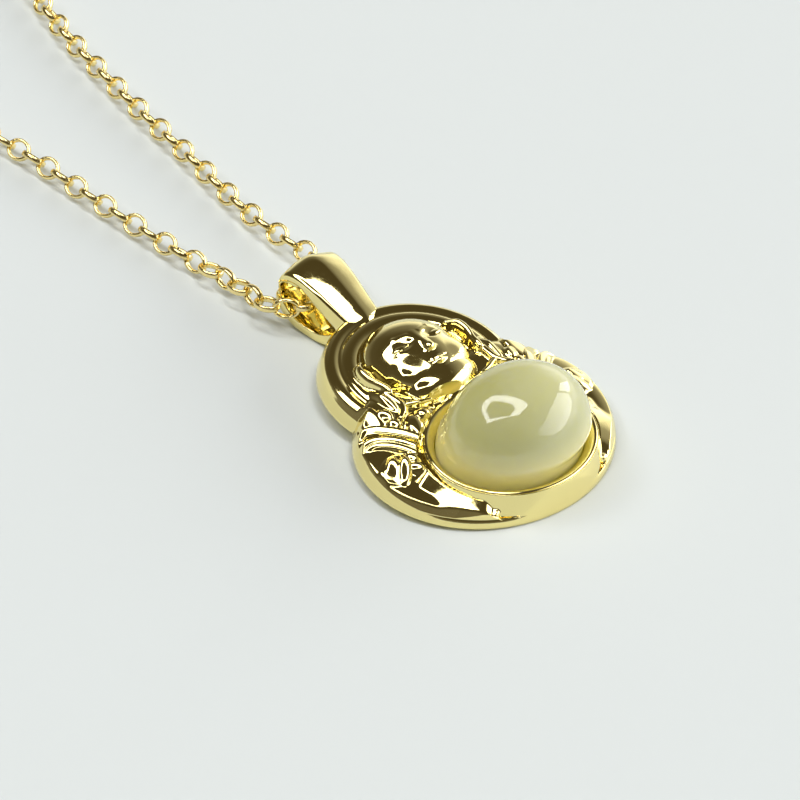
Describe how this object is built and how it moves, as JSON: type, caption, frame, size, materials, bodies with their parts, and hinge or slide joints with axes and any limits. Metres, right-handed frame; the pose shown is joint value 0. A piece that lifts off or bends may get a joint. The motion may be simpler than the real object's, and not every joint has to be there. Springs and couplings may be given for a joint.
{
  "type": "jade buddha pendant on a neck chain",
  "caption": "Gold pendant with a seated figure cast in relief round a high oval jade cabochon, on a fine chain that passes through its bail and closes in a plain clasp.",
  "frame": {"origin": "on the surface that the necklace lies on, under the middle of its footprint", "axes": "+Y from the pendant towards the clasp, +X to the right seen from above with +Y up, +Z up"},
  "size_m": [0.0759, 0.2276, 0.0074],
  "materials": {
    "polished_gold": "mirror polished yellow gold plating",
    "chain_gold": "bright yellow gold plating on wire",
    "jade": "polished translucent pale green nephrite"
  },
  "bodies": {
    "root": {"pendant_casting": "polished_gold", "jade_cabochon": "jade", "chain": "chain_gold", "clasp": "chain_gold"}
  },
  "joints": []
}
